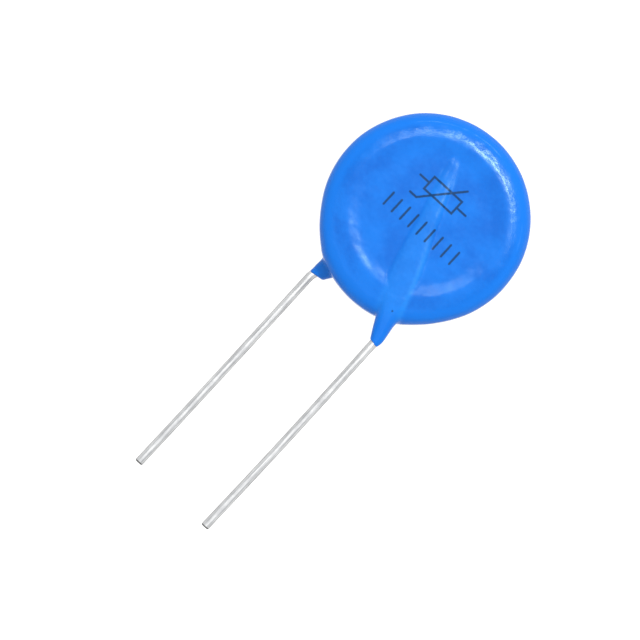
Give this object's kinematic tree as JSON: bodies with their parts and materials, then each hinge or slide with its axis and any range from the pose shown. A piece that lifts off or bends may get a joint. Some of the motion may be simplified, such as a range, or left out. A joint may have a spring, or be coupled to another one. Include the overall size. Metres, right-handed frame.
{
  "type": "varistor",
  "caption": "Flat round voltage-clamping disc in a glossy dipped coat, with straight parallel wire leads for a circuit board.",
  "frame": {"origin": "midway between the two lead axes where they leave the coat, on the mid-plane of the disc", "axes": "+Z out of the front face of the disc, -Y along the leads toward their tips, +X across the pair toward the lead that lies on the front face"},
  "size_m": [0.0228, 0.0522, 0.0056],
  "materials": {
    "coat": "gloss",
    "ceramic": "matte",
    "silver": "matte",
    "solder": "satin",
    "tinned_wire": "bright"
  },
  "bodies": {
    "root": {"epoxy_coating": "coat", "ceramic_disc": "ceramic", "front_electrode": "silver", "back_electrode": "silver", "front_solder": "solder", "back_solder": "solder", "front_lead": "tinned_wire", "back_lead": "tinned_wire"}
  },
  "joints": []
}
